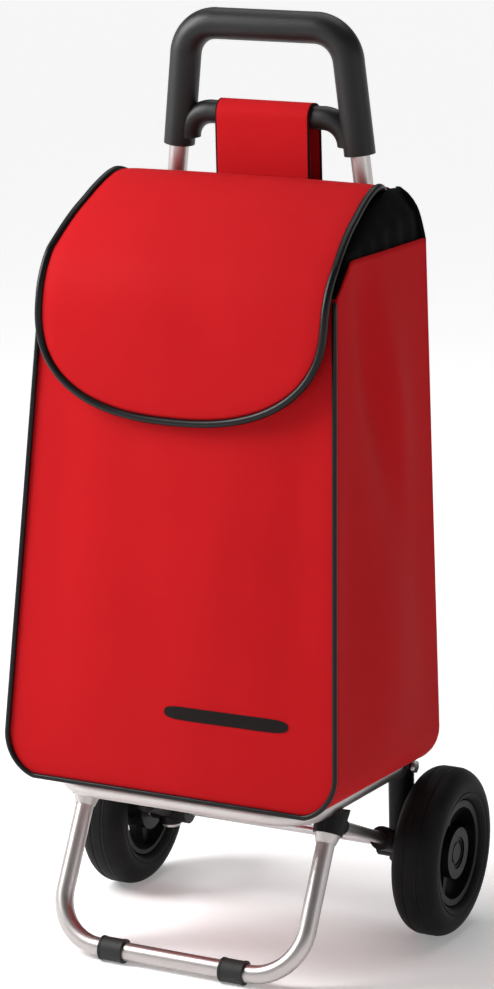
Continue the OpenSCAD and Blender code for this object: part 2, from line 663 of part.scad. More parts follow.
tyre(-1);  // tyre_left
tyre(1);  // tyre_right
rim(-1);  // rim_left
rim(1);  // rim_right
bush(-1, wheel_x - hub_in);  // bush_inner_left
bush(1, wheel_x - hub_in);  // bush_inner_right
bush(-1, bush_out_x);  // bush_outer_left
bush(1, bush_out_x);  // bush_outer_right
hub_cap(-1);  // hub_cap_left
hub_cap(1);  // hub_cap_right
axle();
axle_washers();
axle_push_nuts();
upright(-1);  // upright_left
upright(1);  // upright_right
bracket(-1);  // bracket_left
bracket(1);  // bracket_right
bracket_bolts();
bracket_nuts();
strut(-1);  // strut_left
strut(1);  // strut_right
shelf_tube();
corner_block(-1);  // corner_block_left
corner_block(1);  // corner_block_right
leg_ferrule(-1);  // leg_ferrule_left
leg_ferrule(1);  // leg_ferrule_right
stand_tube();
foot_sleeve(-1);  // foot_sleeve_left
foot_sleeve(1);  // foot_sleeve_right
handle();
handle_screws();
front_panel();
back_panel();
gusset();
front_piping();
collar();
base_board();
flap();
flap_piping();
strap();
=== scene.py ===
import bpy
import numpy as np
from mathutils import Matrix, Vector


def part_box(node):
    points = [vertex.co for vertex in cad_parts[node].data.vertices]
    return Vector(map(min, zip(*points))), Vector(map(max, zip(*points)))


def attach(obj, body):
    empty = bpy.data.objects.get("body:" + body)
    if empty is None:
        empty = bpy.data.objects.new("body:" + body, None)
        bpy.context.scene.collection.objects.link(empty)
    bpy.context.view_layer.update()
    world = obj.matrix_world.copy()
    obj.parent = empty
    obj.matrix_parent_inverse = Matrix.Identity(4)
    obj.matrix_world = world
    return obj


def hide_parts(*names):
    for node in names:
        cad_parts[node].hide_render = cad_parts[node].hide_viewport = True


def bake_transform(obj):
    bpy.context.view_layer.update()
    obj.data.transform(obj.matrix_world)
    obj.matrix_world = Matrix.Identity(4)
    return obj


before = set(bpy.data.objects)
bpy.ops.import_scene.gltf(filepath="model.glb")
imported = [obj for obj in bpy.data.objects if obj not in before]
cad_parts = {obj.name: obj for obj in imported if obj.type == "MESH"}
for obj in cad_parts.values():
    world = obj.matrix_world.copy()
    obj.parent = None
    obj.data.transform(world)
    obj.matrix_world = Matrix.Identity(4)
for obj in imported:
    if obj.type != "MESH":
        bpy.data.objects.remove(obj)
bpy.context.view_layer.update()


# ---- camera ----
# A long lens in front of the trolley and to the viewer's right of it, a little higher than its
# handle, looking down by some eleven degrees and rolled by a degree and a half.
camera_place = (1.3894, -2.88985, 1.046)
azimuth, elevation, roll = np.radians([25.79, 10.63, 1.43])
view_back = np.array([
    np.sin(azimuth) * np.cos(elevation), -np.cos(azimuth) * np.cos(elevation),
    np.sin(elevation)])
level_right = np.cross(-view_back, [0.0, 0.0, 1.0])
level_right /= np.linalg.norm(level_right)
level_up = np.cross(level_right, -view_back)
camera_axes = np.stack([
    level_right * np.cos(roll) + level_up * np.sin(roll),
    level_up * np.cos(roll) - level_right * np.sin(roll),
    view_back], axis=1)
camera = bpy.data.objects.new("camera", bpy.data.cameras.new("camera"))
camera.data.lens = 121.3
camera.data.sensor_width = 36.0
camera.data.clip_end = 30.0
camera_turn = Matrix(camera_axes.tolist()).to_4x4()
camera.matrix_world = Matrix.Translation(camera_place) @ camera_turn
bpy.context.scene.collection.objects.link(camera)
bpy.context.scene.camera = camera


# ---- studio: paper sweep and soft boxes ----
# A floor of white paper that glows further out, so that it runs into a pale horizon. One large soft
# box stands high on the viewer's left, a weaker one on the right, and a third hangs overhead.
def grid_mesh(name, points, uv=None, ring=False, loop=False, body=None):
    """A mesh object from a grid of points (rows, columns, 3): each four neighbours make one face,
    which points along column step x row step. ring closes every row, loop closes every column."""
    rows, columns = points.shape[:2]
    index = np.arange(rows * columns).reshape(rows, columns)
    if ring:
        index = np.concatenate([index, index[:, :1]], axis=1)
    if loop:
        index = np.concatenate([index, index[:1]], axis=0)
    faces = np.stack([
        index[:-1, :-1], index[:-1, 1:], index[1:, 1:], index[1:, :-1]], axis=-1).reshape(-1, 4)
    mesh = bpy.data.meshes.new(name)
    mesh.from_pydata(points.reshape(-1, 3), [], faces.tolist())
    mesh.shade_smooth()
    if uv is not None:
        layer = mesh.uv_layers.new(name="cloth")
        layer.data.foreach_set("uv", uv.reshape(-1, 2)[faces.ravel()].astype(np.float32).ravel())
    made = bpy.data.objects.new(name, mesh)
    bpy.context.scene.collection.objects.link(made)
    if body:
        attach(made, body)
    return made


class Reading:
    """A value in a finish's node tree. Sums and products with it add Math nodes."""

    def __init__(self, finish, socket):
        self.finish = finish
        self.socket = socket

    def math(self, operation, *values):
        return self.finish.node("Math", {"operation": operation}, dict(enumerate(values)))

    def __add__(self, other):
        return self.math("ADD", self, other)

    def __mul__(self, other):
        return self.math("MULTIPLY", self, other)

    __radd__ = __add__
    __rmul__ = __mul__

    def wave(self, pitch):
        """A sine wave along this value, from -1 to 1, one crest every pitch."""
        return self.math("SINE", self * (2 * np.pi / pitch))

    def step(self, low, high):
        """0 below low, 1 above high, and smooth between them."""
        return self.finish.node("MapRange", {"interpolation_type": "SMOOTHSTEP"},
                                {"Value": self, "From Min": low, "From Max": high})


class Wiring:
    """A node tree, with the steps that build it."""

    def __init__(self, tree):
        self.tree = tree

    def feed(self, socket, value):
        """Links a reading to a socket, or sets the socket's own value."""
        if isinstance(value, Reading):
            self.tree.links.new(value.socket, socket)
        elif hasattr(value, "__len__") and len(value) == 3 and socket.type == "RGBA":
            socket.default_value = (*value, 1.0)
        else:
            socket.default_value = value

    def node(self, kind, settings=None, inputs=None, out=0):
        """Adds a node of a type: its settings first, then a value or link for each socket."""
        made = self.tree.nodes.new("ShaderNode" + kind)
        for key, value in (settings or {}).items():
            setattr(made, key, value)
        for key, value in (inputs or {}).items():
            self.feed(made.inputs[key], value)
        return Reading(self, made.outputs[out])

    def place(self, by="Object"):
        """The object's own coordinates, or its UV map's, both in metres."""
        return self.node("TexCoord", out={"Object": 3, "UV": 2}[by])

    def axis(self, vector, out):
        """One part of a vector: 0 for x, 1 for y, 2 for z."""
        return self.node("SeparateXYZ", inputs={"Vector": vector}, out=out)

    def noise(self, vector, scale, detail=2.0, roughness=0.5):
        """Soft noise about 0.5, with scale cells to the metre."""
        return self.node("TexNoise", inputs={
            "Vector": vector, "Scale": scale, "Detail": detail, "Roughness": roughness})

    def stretch(self, vector, scale):
        return self.node("Mapping", inputs={"Vector": vector, "Scale": scale})

    def mix(self, factor, first, second):
        """A colour between two."""
        return self.node("Mix", {"data_type": "RGBA"}, {0: factor, 6: first, 7: second}, out=2)


class Finish(Wiring):
    """A material with one Principled shader, whose constants are set on its own sockets."""

    def __init__(self, name, **constants):
        self.material = bpy.data.materials.new(name)
        self.material.use_nodes = True
        super().__init__(self.material.node_tree)
        self.shader = self.tree.nodes["Principled BSDF"]
        for key, value in constants.items():
            self.feed(self.shader.inputs[key.replace("_", " ")], value)

    def bump(self, height, distance, strength=1.0):
        """Turns a height from 0 to 1 into the shader's normal, distance metres deep."""
        normal = self.node("Bump", inputs={
            "Height": height, "Distance": distance, "Strength": strength})
        self.feed(self.shader.inputs["Normal"], normal)

    def give(self, **readings):
        """Links what changes over the surface to the shader's sockets."""
        for key, value in readings.items():
            self.feed(self.shader.inputs[key.replace("_", " ")], value)

    def paint(self, *objects):
        for thing in objects:
            thing.data.materials.clear()
            thing.data.materials.append(self.material)


paper_ring = np.concatenate([np.linspace(0, 4, 9), np.geomspace(5, 40, 8)])[:, None]
paper_turn = np.linspace(0, 2 * np.pi, 72, endpoint=False)[None, :]
paper = grid_mesh("paper_floor", np.stack(np.broadcast_arrays(
    -paper_ring * np.cos(paper_turn), paper_ring * np.sin(paper_turn), 0.0), axis=-1), ring=True)
paper_white = Finish("white_paper", Roughness=0.9, Specular_IOR_Level=0.15, Emission_Strength=1.0)
paper_place = paper_white.place()
paper_grain = paper_white.noise(paper_place, 3.0)
paper_reach = paper_white.node("VectorMath", {"operation": "LENGTH"}, {0: paper_place}, out=1)
paper_glow = paper_reach.step(0.7, 2.4)
paper_white.give(Base_Color=paper_white.mix(paper_grain, (0.93, 0.93, 0.93), (0.95, 0.95, 0.95)),
                 Emission_Color=paper_white.mix(paper_glow, (0.22, 0.22, 0.22), (0.80, 0.80, 0.80)))
paper_white.paint(paper)


def soft_box(name, place, aim, width, height, power):
    """A white rectangular lamp at place that faces aim, with its power in watts."""
    lamp = bpy.data.lights.new(name, "AREA")
    lamp.shape = "RECTANGLE"
    lamp.size = width
    lamp.size_y = height
    lamp.energy = power
    held = bpy.data.objects.new(name, lamp)
    away = np.array(place) - np.array(aim)
    away = away / np.linalg.norm(away)
    side = np.cross([0.0, 0.0, 1.0], away)
    side /= np.linalg.norm(side)
    turn = Matrix(np.stack([side, np.cross(away, side), away], axis=1).tolist()).to_4x4()
    held.matrix_world = Matrix.Translation(place) @ turn
    bpy.context.scene.collection.objects.link(held)


soft_box("key_box", (-1.30, -0.80, 1.4), (0, -0.1, 0.5), 0.8, 1.2, 50)
soft_box("side_box", (2.6, -0.4, 1.0), (0, 0, 0.5), 0.5, 1.8, 3)
soft_box("top_box", (-0.2, 0.7, 2.6), (0, 0.3, 0.0), 2.0, 2.0, 24)
world = bpy.data.worlds.new("studio")
world.use_nodes = True
sky = Wiring(world.node_tree)
sky_up = sky.axis(sky.node("TexCoord"), 2).step(0.10, 0.40)
sky.feed(world.node_tree.nodes["Background"].inputs["Color"],
         sky.mix(sky_up, (0.85, 0.85, 0.85), (0.07, 0.07, 0.07)))
bpy.context.scene.world = world
bpy.context.scene.view_settings.view_transform = "Standard"


# ---- tyres ----
# Solid black rubber tyres, moulded in one piece, with two fine grooves round the tread and a
# rounded wall that ends in a thin lip on the rim.
def spun(name, centre, profile, count, body):
    """A closed surface of revolution about the X axis through centre. profile is a closed loop of
    (x, radius) points, x from the wheel's middle plane; each row is the loop turned by an angle."""
    turn = np.linspace(0, 2 * np.pi, count, endpoint=False)[:, None]
    across = np.broadcast_to(profile[None, :, 0], (count, len(profile)))
    around = profile[None, :, 1]
    points = np.stack([
        centre[0] + across, centre[1] + around * np.cos(turn),
        centre[2] + around * np.sin(turn)], axis=-1)
    return grid_mesh(name, points, ring=True, loop=True, body=body)


def corner_arc(centre, radius, start, end, count):
    """Points on a circle's arc between two angles in degrees."""
    turn = np.radians(np.linspace(start, end, count))
    return np.stack([centre[0] + radius * np.cos(turn), centre[1] + radius * np.sin(turn)], axis=1)


rubber = Finish("tyre_rubber", Roughness=0.62, Specular_IOR_Level=0.16)
rubber_place = rubber.place()
rubber_dust = rubber.noise(rubber_place, 38.0, 4.0)
rubber_grain = rubber.noise(rubber_place, 900.0, 2.0)
rubber.give(Base_Color=rubber.mix(rubber_dust.step(0.35, 0.7),
                                  (0.0025, 0.0025, 0.0028), (0.0065, 0.0065, 0.007)),
            Roughness=0.55 + rubber_dust * 0.2)
rubber.bump(rubber_grain, 0.0004, 0.4)

tyre_depth, shoulder, bead = 0.032, 0.018, 0.008
groove = np.array([[0.0062, 0.0], [0.0064, -0.0009], [0.0076, -0.0009], [0.0078, 0.0]])

for side_name in ("left", "right"):
    low, high = (np.array(v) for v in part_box("tyre_" + side_name))
    middle = (low + high) / 2
    tyre_r = (high[2] - low[2]) / 2
    half_w = (high[0] - low[0]) / 2
    seat_r = tyre_r - tyre_depth
    crown_x = half_w - shoulder
    tread = np.concatenate([
        [[-crown_x + 0.0005, 0.0], [-0.0085, 0.0001]], groove[::-1] * [-1, 1],
        [[-0.003, 0.0002], [0.003, 0.0002]], groove,
        [[0.0085, 0.0001], [crown_x - 0.0005, 0.0]]]) + [0, tyre_r - 0.0002]
    wall = np.concatenate([
        corner_arc((crown_x, tyre_r - shoulder), shoulder, 85, 0, 14),
        [[half_w - 0.0003, tyre_r - shoulder - 0.0035],
         [half_w - 0.0011, tyre_r - shoulder - 0.0045],
         [half_w - 0.0011, tyre_r - shoulder - 0.0065]],
        corner_arc((half_w - bead - 0.0008, seat_r + bead + 0.0012), bead, 0, -80, 9)])
    seat = np.array([[0.012, seat_r + 0.0002], [-0.012, seat_r + 0.0002]])
    loop = np.concatenate([tread, wall, seat, wall[::-1] * [-1, 1]])
    tyre = spun("tyre_rubber_" + side_name, middle, loop[::-1], 96, "wheel_" + side_name)
    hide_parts("tyre_" + side_name)
    rubber.paint(tyre)


# ---- wheel rims, hub caps, brackets and the other black mouldings ----
# Injection-moulded black plastic with a fine spark-eroded grain. The parts keep the shapes that
# they were designed with, and only their finish is given here.
moulding = Finish("black_moulding", Roughness=0.46, Specular_IOR_Level=0.18)
moulding_place = moulding.place()
moulding_grain = moulding.noise(moulding_place, 1400.0, 2.0, 0.6)
moulding_cloud = moulding.noise(moulding_place, 22.0, 3.0)
moulding.give(Base_Color=moulding.mix(moulding_cloud,
                                      (0.0025, 0.0025, 0.0028), (0.006, 0.006, 0.0066)),
              Roughness=0.40 + moulding_cloud * 0.14)
moulding.bump(moulding_grain, 0.00025, 0.45)
moulding.paint(*(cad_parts[node] for node in (
    "rim_left", "rim_right", "hub_cap_left", "hub_cap_right", "bracket_left", "bracket_right",
    "corner_block_left", "corner_block_right")))


# ---- foot sleeves ----
# Two thick rubber sleeves, slid on to the stand's foot bar, that stop the trolley from slipping
# when it stands.
sleeve_rubber = Finish("sleeve_rubber", Roughness=0.6, Specular_IOR_Level=0.4)
sleeve_place = sleeve_rubber.place()
sleeve_cloud = sleeve_rubber.noise(sleeve_place, 60.0, 3.0)
sleeve_rubber.give(Base_Color=sleeve_rubber.mix(sleeve_cloud,
                                                (0.010, 0.010, 0.010), (0.022, 0.022, 0.022)),
                   Roughness=0.5 + sleeve_cloud * 0.2)
sleeve_rubber.bump(sleeve_rubber.noise(sleeve_place, 1100.0), 0.0003, 0.4)
sleeve_rubber.paint(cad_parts["foot_sleeve_left"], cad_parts["foot_sleeve_right"])


# ---- bushes, axle and fasteners ----
# White nylon bushes run on a bright zinc-plated axle, held by washers and push-on nuts.
nylon = Finish("white_nylon", Roughness=0.4, Subsurface_Weight=0.15, Subsurface_Scale=0.002)
nylon_cloud = nylon.noise(nylon.place(), 90.0)
nylon.give(Base_Color=nylon.mix(nylon_cloud, (0.72, 0.71, 0.66), (0.82, 0.81, 0.77)))
nylon.bump(nylon_cloud, 0.0002, 0.2)
nylon.paint(*(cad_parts[node] for node in (
    "bush_inner_left", "bush_inner_right", "bush_outer_left", "bush_outer_right")))

steel = Finish("plated_steel", Metallic=1.0, Roughness=0.3)
steel_place = steel.place()
steel_cloud = steel.noise(steel_place, 160.0, 4.0)
steel_turning = steel.noise(steel.stretch(steel_place, (2500.0, 60.0, 60.0)), 1.0)
steel.give(Base_Color=steel.mix(steel_cloud, (0.58, 0.58, 0.59), (0.72, 0.72, 0.73)),
           Roughness=0.24 + steel_cloud * 0.16)
steel.bump(steel_turning, 0.00005, 0.3)
steel.paint(*(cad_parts[node] for node in (
    "axle", "axle_washers", "axle_push_nuts", "bracket_bolts", "bracket_nuts", "handle_screws")))


# ---- frame tubes ----
# Drawn aluminium tube, bent cold and satin anodised: a warm silver with fine lines along it, and
# a softer, slightly mottled sheen where the acid etch took unevenly.
tube_silver = Finish("satin_tube", Metallic=1.0, Roughness=0.36)
tube_place = tube_silver.place()
tube_draw = tube_silver.noise(tube_silver.stretch(tube_place, (1800.0, 700.0, 45.0)), 1.0, 2.0)
tube_cloud = tube_silver.noise(tube_place, 30.0, 3.0)
tube_silver.give(Base_Color=tube_silver.mix(tube_cloud, (0.50, 0.47, 0.46), (0.56, 0.53, 0.52)),
                 Roughness=0.31 + tube_draw * 0.12)
tube_silver.bump(tube_draw, 0.00004, 0.35)
tube_silver.paint(*(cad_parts[node] for node in (
    "upright_left", "upright_right", "strut_left", "strut_right", "shelf_tube", "stand_tube",
    "leg_ferrule_left", "leg_ferrule_right")))


# ---- handle ----
# One piece of black plastic, blow-moulded over the two uprights: a thick loop with a slimmer
# crossbar, whose ends run into the legs. It has a soft, slightly glossy leather-like grain.
grip_black = Finish("grip_black", Roughness=0.38, Specular_IOR_Level=0.3)
grip_place = grip_black.place()
grip_cells = grip_black.node("TexVoronoi", {"feature": "DISTANCE_TO_EDGE"},
                             {"Vector": grip_place, "Scale": 620.0})
grip_cloud = grip_black.noise(grip_place, 26.0, 3.0)
grip_black.give(Base_Color=grip_black.mix(grip_cloud,
                                          (0.0045, 0.0043, 0.0045), (0.010, 0.0095, 0.010)),
                Roughness=0.33 + grip_cloud * 0.14)
grip_black.bump(grip_cells.step(0.0, 0.25), 0.00025, 0.3)
grip_black.paint(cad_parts["handle"])


# ---- bag, front panel ----
# Coated polyester cloth, cut to a tapered shape with rounded lower corners and sewn into the
# piping all round. The filled bag pushes it out a little, most in its lower half.
def half_width(z, low, top, floor, rim, corner):
    """Half a panel's width at height z: a straight side from low, one corner radius above the
    floor, to top at the rim, and a quarter circle of that radius below it."""
    side = low + (top - low) * np.clip((z - floor - corner) / (rim - floor - corner), 0, None)
    drop = np.clip(floor + corner - z, 0, corner)
    return side - corner + np.sqrt(corner ** 2 - drop ** 2)


def bump_at(value, centre, spread):
    """A bell curve: 1 at the centre, falling to about a third one spread away."""
    return np.exp(-((value - centre) / spread) ** 2)


panel_low, panel_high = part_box("front_panel")
back_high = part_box("back_panel")[1]
bag_floor, front_rim = panel_low[2], panel_high[2]
side_rim, back_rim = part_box("gusset")[1][2], back_high[2]
front_low_x, front_top_x, corner_r = panel_high[0], 0.1535, 0.042
front_low_y, front_top_y = panel_low[1], panel_high[1] - 0.003
back_low_x, back_top_x = 0.179, 0.170
frame_lean = np.radians(6.5)
cloth_wall, weave_pitch = 0.0022, 0.0011


def front_y(z):
    """The front panel's outer face leans back evenly from the floor to the rim."""
    return front_low_y + (front_top_y - front_low_y) * (z - bag_floor) / (front_rim - bag_floor)


def back_y(z):
    """The back panel's outer face leans forward with the uprights."""
    return back_high[1] - np.tan(frame_lean) * (z - bag_floor)


def front_swell(s, z):
    """How far the front panel stands out at s across (-1 to 1) and height z: a broad belly below
    the middle, a dent beside each edge, and two faint folds that run down from under the flap."""
    up = (z - bag_floor) / (front_rim - bag_floor)
    belly = 0.0065 * (1 - s ** 2) * np.sin(np.pi * np.clip(up, 0, 1) ** 0.75)
    dents = (-0.0016 * (bump_at(s, 0.72 + 0.10 * up, 0.15) + bump_at(s, -0.76, 0.15))
             * np.sin(np.pi * up))
    folds = (0.0012 * bump_at(s - 0.5 * (up - 0.5), 0.28, 0.16)
             - 0.0010 * bump_at(s + 0.35 * (up - 0.4), -0.2, 0.2))
    return belly + dents + folds * np.sin(np.pi * up) * (1 - s ** 2)


cloth_shine = {"Roughness": 0.6, "Specular_IOR_Level": 0.03, "Sheen_Weight": 0.01,
               "Sheen_Roughness": 0.45, "Sheen_Tint": (1.0, 0.45, 0.42)}
cloth_deep, cloth_bright = (0.40, 0.0072, 0.0098), (0.47, 0.0092, 0.0124)
red_cloth = Finish("red_cloth", **cloth_shine)
cloth_place = red_cloth.place("UV")
cloth_u = red_cloth.axis(cloth_place, 0)
cloth_v = red_cloth.axis(cloth_place, 1)
cloth_weave = cloth_u.wave(weave_pitch) * cloth_v.wave(weave_pitch) * 0.5 + 0.5
cloth_thick = red_cloth.noise(red_cloth.stretch(cloth_place, (900.0, 60.0, 1.0)), 1.0, 2.0)
cloth_cloud = red_cloth.noise(cloth_place, 9.0, 3.0)
cloth_crease = red_cloth.noise(cloth_place, 26.0, 3.0, 0.55)
red_cloth.give(
    Base_Color=red_cloth.mix(cloth_cloud * 0.7 + cloth_weave * 0.15 + cloth_thick * 0.15,
                             cloth_deep, cloth_bright),
    Roughness=0.56 + cloth_weave * 0.06 + cloth_cloud * 0.08)
red_cloth.bump(cloth_weave * 0.10 + cloth_thick * 0.04 + cloth_crease * 0.86, 0.0011, 0.5)



def panel_rows(rim):
    """Heights of a panel's rows from the floor to its rim: equal steps of angle round the lower
    corners, then equal steps of height."""
    round_corner = corner_r * (1 - np.cos(np.linspace(0, np.pi / 2, 14)))[:-1]
    return (bag_floor + np.concatenate([
        round_corner, np.linspace(corner_r, rim - bag_floor, 110)]))[:, None]


panel_z = panel_rows(front_rim)
panel_s = np.linspace(-1, 1, 91)[None, :]
panel_w = half_width(panel_z, front_low_x, front_top_x, bag_floor, front_rim, corner_r) - 0.0015
panel_x = panel_s * panel_w
panel_front = np.stack(np.broadcast_arrays(
    panel_x, front_y(panel_z) + 0.0008 - front_swell(panel_s, panel_z), panel_z), axis=-1)
bag_front = grid_mesh("bag_front", panel_front, body="frame",
                      uv=np.stack(np.broadcast_arrays(panel_x, panel_z), axis=-1))
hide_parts("front_panel")
red_cloth.paint(bag_front)


def thicken(piece, thickness, offset=-1.0):
    """Gives a sheet its wall: inwards from the face that was drawn at -1, half each way at 0."""
    wall = piece.modifiers.new("wall", "SOLIDIFY")
    wall.thickness = thickness
    wall.offset = offset


thicken(bag_front, cloth_wall)


# ---- printed mark ----
# A plain bar with round ends in black ink, screen-printed low on the front panel's right half.
ink = Finish("printed_ink", Roughness=0.55, Specular_IOR_Level=0.1)
ink_cover = ink.noise(ink.place("UV"), 400.0, 3.0)
ink.give(Base_Color=ink.mix(ink_cover, (0.006, 0.004, 0.004), (0.013, 0.008, 0.008)))
ink.bump(ink_cover, 0.0002, 0.4)
mark_mid_x, mark_mid_z, mark_half_x, mark_half_z = 0.0605, 0.2640, 0.0640, 0.0065
mark_turn = np.linspace(0, 2 * np.pi, 96, endpoint=False)[None, :]
mark_share = np.linspace(1.0, 0.0, 12)[:, None]
mark_cos, mark_sin = np.cos(mark_turn), np.sin(mark_turn)
mark_x = mark_mid_x + mark_half_x * mark_share * np.sign(mark_cos) * np.abs(mark_cos) ** 0.22
mark_z = mark_mid_z + mark_half_z * mark_share * np.sign(mark_sin) * np.abs(mark_sin) ** 0.75
mark_s = mark_x / half_width(mark_z, front_low_x, front_top_x, bag_floor, front_rim, corner_r)
mark_y = front_y(mark_z) + 0.0004 - front_swell(mark_s, mark_z)
print_mark = grid_mesh("print_mark", np.stack([mark_x, mark_y, mark_z], axis=-1),
                       uv=np.stack([mark_x, mark_z], axis=-1), ring=True, body="frame")
ink.paint(print_mark)


# ---- bag, sides and bottom ----
# One long gusset of the same cloth, up one side, across the bottom and up the other. It hangs
# slack between the front piping and the back seam, so a soft vertical fold forms in each side.
def mouth_z(f):
    """Height of the bag's mouth from the front panel's top (f 0) to the back seam (f 1)."""
    return np.interp(f, [0, 0.15, 1], [front_rim, 0.697, side_rim])


def gusset_path(f, count_side, count_corner, count_floor):
    """Outline of the bag at f (0 at the front, 1 at the back), as (x, z) from the left top, down,
    along the floor and up to the right top."""
    low = front_low_x + (back_low_x - front_low_x) * f
    top = front_top_x + (back_top_x - front_top_x) * f
    rim = mouth_z(f)
    z_side = np.linspace(rim, bag_floor + corner_r, count_side)
    side = np.stack([np.interp(z_side, [bag_floor + corner_r, rim], [low, top]), z_side], axis=1)
    corner = corner_arc((low - corner_r, bag_floor + corner_r), corner_r, 0, -90, count_corner)[1:]
    floor_x = np.linspace(low - corner_r, 0, count_floor)[1:]
    floor = np.stack([floor_x, np.full(len(floor_x), bag_floor)], axis=1)
    half = np.concatenate([side, corner, floor])
    return np.concatenate([half * [-1, 1], half[-2::-1]])


gusset_f = np.linspace(1, 0, 64)
gusset_xz = np.stack([gusset_path(f, 90, 14, 20) for f in gusset_f])
gusset_ff = gusset_f[:, None]
gusset_z = gusset_xz[:, :, 1]
gusset_up = np.clip((gusset_z - bag_floor) / (side_rim - bag_floor), 0, 1)
gusset_edge = np.sin(np.pi * np.clip(gusset_ff, 0, 1)) ** 0.8
fold_line = 0.20 + 0.75 * (1 - gusset_up)
# Each dent's depth, its middle and spread from front to back, and the same from floor to rim.
gusset_dents = (
    (0.0100, fold_line, 0.13, 0.78, 0.22),
    (0.0040, 0.10, 0.10, 0.42, 0.22),
    (-0.0050, fold_line + 0.22, 0.16, 0.72, 0.16),
    (-0.0075, 0.52, 0.30, 0.26, 0.24),
    (0.0030, 0.84, 0.12, 0.50, 0.30))
gusset_pull = gusset_edge * sum(
    depth * bump_at(gusset_ff, f_mid, f_spread) * bump_at(gusset_up, up_mid, up_spread)
    for depth, f_mid, f_spread, up_mid, up_spread in gusset_dents)
gusset_pull *= np.clip((gusset_z - bag_floor - 0.01) / 0.06, 0, 1)
gusset_pull *= np.clip((gusset_xz[:, :1, 1] - gusset_z) / 0.035, 0, 1) ** 0.7
gusset_x = gusset_xz[:, :, 0] - np.sign(gusset_xz[:, :, 0]) * gusset_pull
gusset_y = (front_y(gusset_z) + 0.0010) * (1 - gusset_ff) + back_y(gusset_z) * gusset_ff
gusset_run = np.concatenate([np.zeros((len(gusset_f), 1)), np.cumsum(np.linalg.norm(
    np.diff(gusset_xz, axis=1), axis=2), axis=1)], axis=1)
gusset_run -= gusset_run[:, -1:] / 2
bag_sides = grid_mesh(
    "bag_sides", np.stack([gusset_x, gusset_y, gusset_z], axis=-1),
    uv=np.stack([gusset_y, gusset_run], axis=-1), body="frame")
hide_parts("gusset")
red_cloth.paint(bag_sides)
thicken(bag_sides, cloth_wall)


# ---- bag, back panel ----
# The same cloth, with rounded lower corners and sloping shoulders above the side panels. It hangs
# just in front of the uprights and keeps nearly flat.
def back_half(z):
    """Half the back panel's width: like the front panel's up to the side seams' top, then rounded
    in to the shoulders."""
    below = half_width(z, back_low_x, back_top_x, bag_floor, side_rim, corner_r)
    above = np.interp(z, [side_rim, 0.712, 0.725, 0.736, 0.744, 0.750, 0.755],
                      [back_top_x, 0.1692, 0.1662, 0.1628, 0.1575, 0.1520, 0.1445])
    return np.where(z > side_rim, above, below)


back_columns = 71
back_s = np.linspace(1, -1, back_columns)[None, :]
back_row_z = panel_rows(back_rim)
back_ear = 0.007 * np.clip((np.abs(back_s) - 0.93) / 0.03, 0, 1)
back_z = back_row_z + back_ear * np.clip((back_row_z - side_rim) / (back_rim - side_rim), 0, 1)
back_up = (back_z - bag_floor) / (back_rim - bag_floor)
back_x = back_s * back_half(back_z)
back_hollow = (0.0030 * (1 - back_s ** 2) * np.sin(np.pi * back_up)
               * (1 + 0.4 * np.sin(7 * back_up + 3 * back_s)))
back_face = np.stack([back_x, back_y(back_z) - 0.0004 - back_hollow, back_z], axis=-1)
bag_back = grid_mesh("bag_back", back_face, uv=np.stack([back_x, back_z], axis=-1), body="frame")
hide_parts("back_panel")
red_cloth.paint(bag_back)


# ---- piping round the front panel ----
# A cord in a strip of black coated cloth, sewn into the seam between the front panel and the
# gusset, so that only its round edge shows.
def along(path):
    """Unit tangents of a path of points, and the distance run to each point."""
    tangent = np.gradient(path, axis=0)
    tangent /= np.linalg.norm(tangent, axis=1, keepdims=True)
    run = np.concatenate([[0.0], np.cumsum(np.linalg.norm(np.diff(path, axis=0), axis=1))])
    return tangent, run


def piped(name, path, normal, radius, body, sides=14):
    """A round cord along a path: each row is a circle across the tangent, and its two ends close
    on the path. The surface is the path plus radius times a unit vector that turns from normal."""
    tangent, run = along(path)
    across = np.cross(tangent, normal)
    across /= np.linalg.norm(across, axis=1, keepdims=True)
    upright = np.cross(across, tangent)
    turn = np.linspace(0, 2 * np.pi, sides, endpoint=False)
    size = np.full(len(path), radius)
    size[[0, -1]] = 0.0
    circle = (np.cos(turn)[None, :, None] * upright[:, None, :]
              + np.sin(turn)[None, :, None] * across[:, None, :])
    points = path[:, None, :] + size[:, None, None] * circle
    uv = np.stack(np.broadcast_arrays(turn[None, :] * radius, run[:, None]), axis=-1)
    return grid_mesh(name, points, uv=uv, ring=True, body=body)


piping_black = Finish("piping_black", Roughness=0.34, Specular_IOR_Level=0.22)
piping_place = piping_black.place()
piping_grain = piping_black.noise(piping_place, 750.0, 3.0)
piping_cloud = piping_black.noise(piping_place, 45.0, 2.0)
piping_black.give(Base_Color=piping_black.mix(piping_cloud,
                                              (0.0025, 0.0025, 0.003), (0.006, 0.006, 0.0066)),
                  Roughness=0.27 + piping_cloud * 0.16)
piping_black.bump(piping_grain * 0.6 + piping_cloud * 0.4, 0.0003, 0.4)

seam_r, seam_inset = 0.0025, 0.0018
seam = gusset_path(0.0, 90, 24, 30)
seam_x = seam[:, 0] - np.sign(seam[:, 0]) * seam_inset
seam_z = np.maximum(seam[:, 1], bag_floor + seam_inset)
seam_path = np.stack([seam_x, front_y(seam_z) - 0.0010, seam_z], axis=1)
front_cord = piped("front_piping_cord", seam_path, np.array([[0.0, -1.0, 0.0]]), seam_r, "frame")
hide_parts("front_piping")
piping_black.paint(front_cord)


